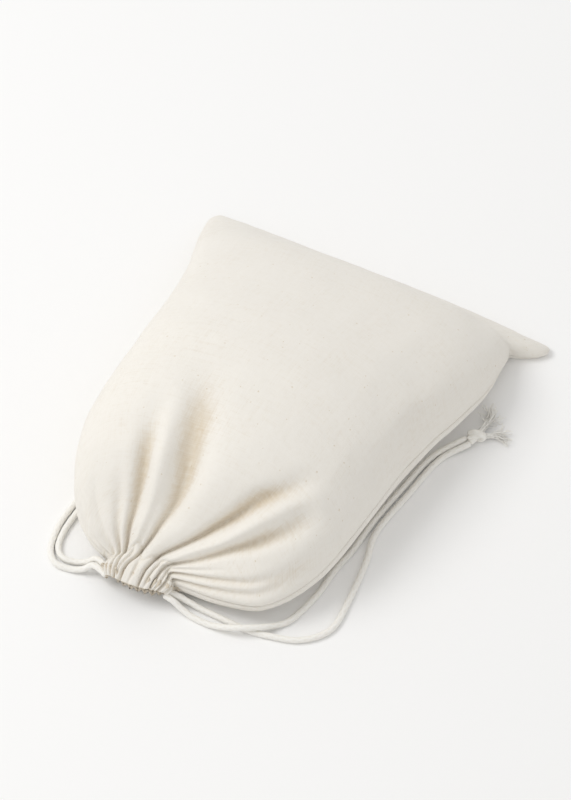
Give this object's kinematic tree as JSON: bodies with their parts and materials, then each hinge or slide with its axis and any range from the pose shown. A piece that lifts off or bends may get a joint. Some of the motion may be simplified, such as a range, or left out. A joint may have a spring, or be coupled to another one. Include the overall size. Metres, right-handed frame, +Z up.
{
  "type": "drawstring bag",
  "caption": "Filled cotton drawstring pouch lying down, its mouth gathered closed by two cords with knotted, frayed ends.",
  "frame": {"origin": "on the surface that the pouch rests on, under the middle of the pouch's box, cords left out", "axes": "-Y is the way the mouth points, +Y the bottom seam, +X the pouch's right seen from above, +Z up"},
  "size_m": [0.1536, 0.1781, 0.0618],
  "materials": {
    "cotton": "undyed plain-weave cotton, matt",
    "cord": "undyed twisted cotton cord, matt",
    "frayed_cotton": "loose undyed cotton threads"
  },
  "bodies": {
    "root": {"front_panel": "cotton", "back_panel": "cotton", "front_channel": "cotton", "back_channel": "cotton", "right_cord_outer": "cord", "right_cord_inner": "cord", "left_cord_outer": "cord", "left_cord_inner": "cord", "right_knot": "cord", "left_knot": "cord", "right_tassel": "frayed_cotton", "left_tassel": "frayed_cotton"}
  },
  "joints": []
}
